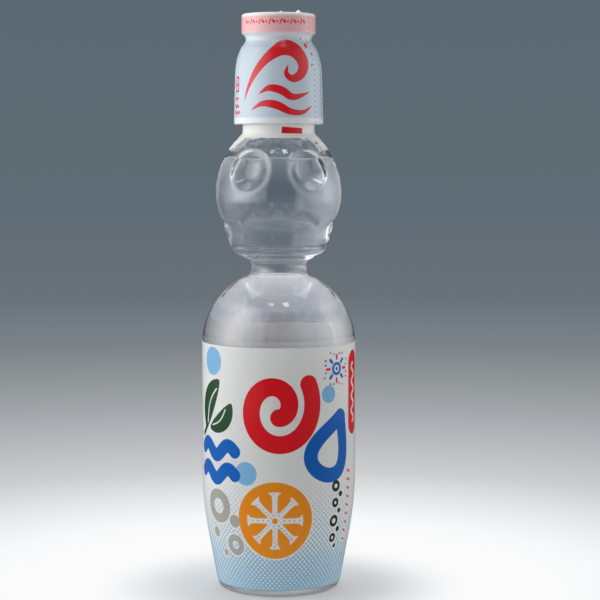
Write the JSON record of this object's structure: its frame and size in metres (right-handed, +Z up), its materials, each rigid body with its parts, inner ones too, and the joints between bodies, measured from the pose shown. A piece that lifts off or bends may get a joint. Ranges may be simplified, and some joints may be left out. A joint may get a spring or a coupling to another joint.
{
  "type": "marble stopper bottle",
  "caption": "Clear plastic soda bottle with a pinched waist, a marble chamber with dimples, a glass marble held against a rubber seal, a plunger opener and shrink films.",
  "frame": {"origin": "centre of the foot ring, on the surface that the bottle stands on", "axes": "+Z up the bottle's axis, -Y out of the front between the two dimples, +X to the right seen from the front"},
  "size_m": [0.057, 0.057, 0.2125],
  "materials": {
    "clear_pet": "clear blown PET, glossy",
    "label_film": "printed shrink sleeve, satin gloss",
    "collar_film": "white shrink film, glossy",
    "tear_film": "pale blue printed shrink film, glossy",
    "cap_plastic": "moulded polyethylene, satin",
    "seal_rubber": "moulded rubber",
    "retainer_plastic": "moulded polyethylene, satin",
    "gasket_rubber": "soft liner, matt",
    "marble_glass": "polished soda-lime glass",
    "carrier_plastic": "moulded polyethylene, satin",
    "plunger_plastic": "moulded polyethylene, satin"
  },
  "bodies": {
    "root": {"bottle": "clear_pet", "body_label": "label_film", "neck_film": "collar_film", "mouth_cap": "cap_plastic", "seal_ring": "seal_rubber", "seal_retainer": "retainer_plastic", "neck_gasket": "gasket_rubber"},
    "opener": {"cap_film": "tear_film", "carrier_ring": "carrier_plastic"},
    "plunger": {"plunger": "plunger_plastic"},
    "marble": {"marble": "marble_glass"}
  },
  "joints": [
    {"name": "opener_lift", "type": "slide", "parent": "root", "child": "opener", "axis": [0, 0, 1], "range_m": [0, 0.06]},
    {"name": "plunger_push", "type": "slide", "parent": "opener", "child": "plunger", "axis": [0, 0, -1], "range_m": [0, 0.0039]},
    {"name": "marble_drop", "type": "slide", "parent": "root", "child": "marble", "axis": [0, 0, -1], "range_m": [0, 0.071]}
  ],
  "couplings": [
    {"joint": "plunger_push", "follows": "marble_drop", "ratio": 0.0549}
  ]
}
